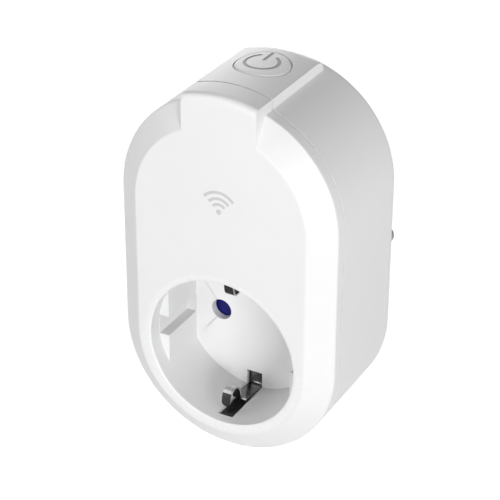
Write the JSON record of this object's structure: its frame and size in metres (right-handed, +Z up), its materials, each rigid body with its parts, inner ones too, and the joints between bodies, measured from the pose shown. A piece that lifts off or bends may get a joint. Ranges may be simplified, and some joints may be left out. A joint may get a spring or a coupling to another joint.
{
  "type": "smart plug",
  "caption": "Wall-socket adapter with an earthed round-pin socket in front, a matching plug behind, a raised top strip with a push button and a bevelled stadium body.",
  "frame": {"origin": "centre of the plug's end face, midway between its two pins", "axes": "+X to the right seen from the front, +Y towards the wall along the pins, +Z up"},
  "size_m": [0.0572, 0.0735, 0.096],
  "materials": {
    "white_shell": "fine satin moulding, white",
    "inner_plastic": "natural white moulding",
    "nickel_plate": "nickel-plated brass",
    "contact_brass": "stamped brass",
    "zinc_steel": "zinc-plated steel",
    "shutter_blue": "dark blue moulding",
    "clear_guide": "clear moulding",
    "board_laminate": "green glass-fibre laminate",
    "component_black": "black moulding",
    "varistor_blue": "blue epoxy coating",
    "fuse_body": "tan ceramic body",
    "lamp_body": "milky lamp package"
  },
  "bodies": {
    "body": {"front_cover": "white_shell", "rear_housing": "white_shell", "socket_well": "white_shell", "shutter_retainer": "inner_plastic", "pin_carrier": "inner_plastic", "upper_earth_clip": "nickel_plate", "lower_earth_clip": "nickel_plate", "upper_side_contact": "nickel_plate", "lower_side_contact": "nickel_plate", "plug_pin_left": "nickel_plate", "plug_pin_right": "nickel_plate", "earth_bracket": "nickel_plate", "radio_shield": "nickel_plate", "line_contact": "contact_brass", "neutral_contact": "contact_brass", "line_link": "contact_brass", "neutral_link": "contact_brass", "earth_pin_socket": "contact_brass", "shutter_spring": "zinc_steel", "housing_screws": "zinc_steel", "board_screws": "zinc_steel", "light_guide": "clear_guide", "main_board": "board_laminate", "radio_board": "board_laminate", "relay": "component_black", "transformer": "component_black", "tact_switch": "component_black", "capacitor": "component_black", "varistor": "varistor_blue", "fuse": "fuse_body", "status_led": "lamp_body"},
    "button": {"power_button": "white_shell", "switch_plunger": "component_black"},
    "shutter": {"shutter": "shutter_blue"}
  },
  "joints": [
    {"name": "button_press", "type": "slide", "parent": "body", "child": "button", "axis": [0, 0, -1], "range_m": [0, 0.0005], "stiffness_N_per_m": 400, "springref_m": -0.001},
    {"name": "shutter_slide", "type": "slide", "parent": "body", "child": "shutter", "axis": [0, 0, -1], "range_m": [0, 0.0062], "stiffness_N_per_m": 60, "springref_m": -0.004, "deforming": ["shutter_spring"]}
  ]
}
